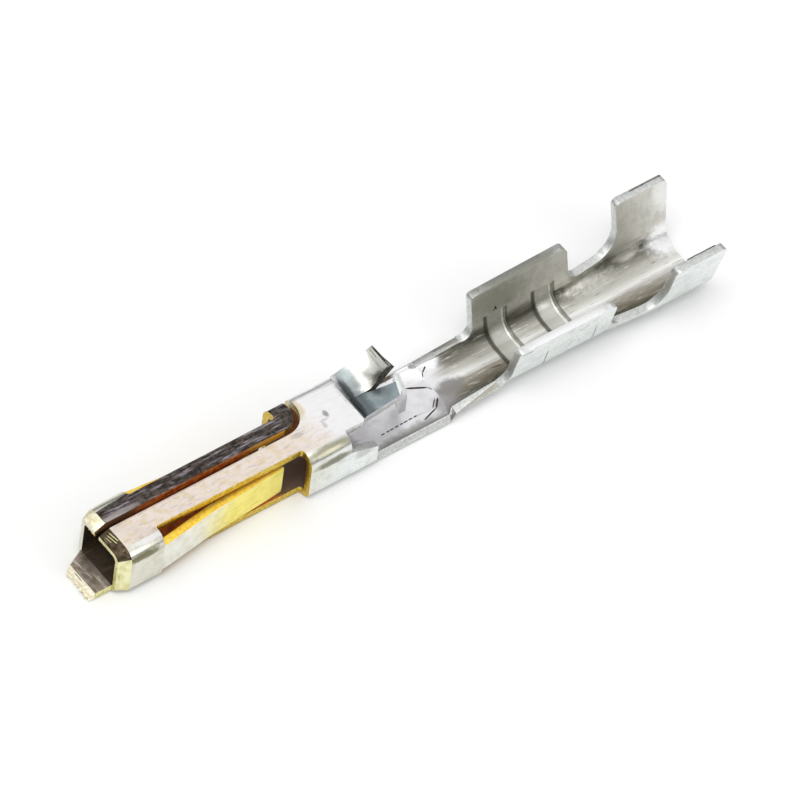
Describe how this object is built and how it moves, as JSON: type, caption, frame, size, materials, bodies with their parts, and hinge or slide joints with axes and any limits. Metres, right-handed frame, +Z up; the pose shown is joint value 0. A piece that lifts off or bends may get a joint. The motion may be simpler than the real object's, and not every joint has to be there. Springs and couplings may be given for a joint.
{
  "type": "crimp terminal",
  "caption": "Open-barrel crimp socket terminal folded from one sheet: spring contact box, locking lance, wire and insulation barrels.",
  "frame": {"origin": "underside of the contact box's floor at the mating end, on the box's centre line", "axes": "+X from the mating end to the wire end, +Z up from the floor to the open side of the barrels, +Y to the side that carries the locking lance"},
  "size_m": [0.0171, 0.0026, 0.0019],
  "materials": {
    "plated_sheet": "bright tin plating, gold flash on the contact end, matte sheared edges"
  },
  "bodies": {
    "root": {"crimp_terminal": "plated_sheet"}
  },
  "joints": []
}
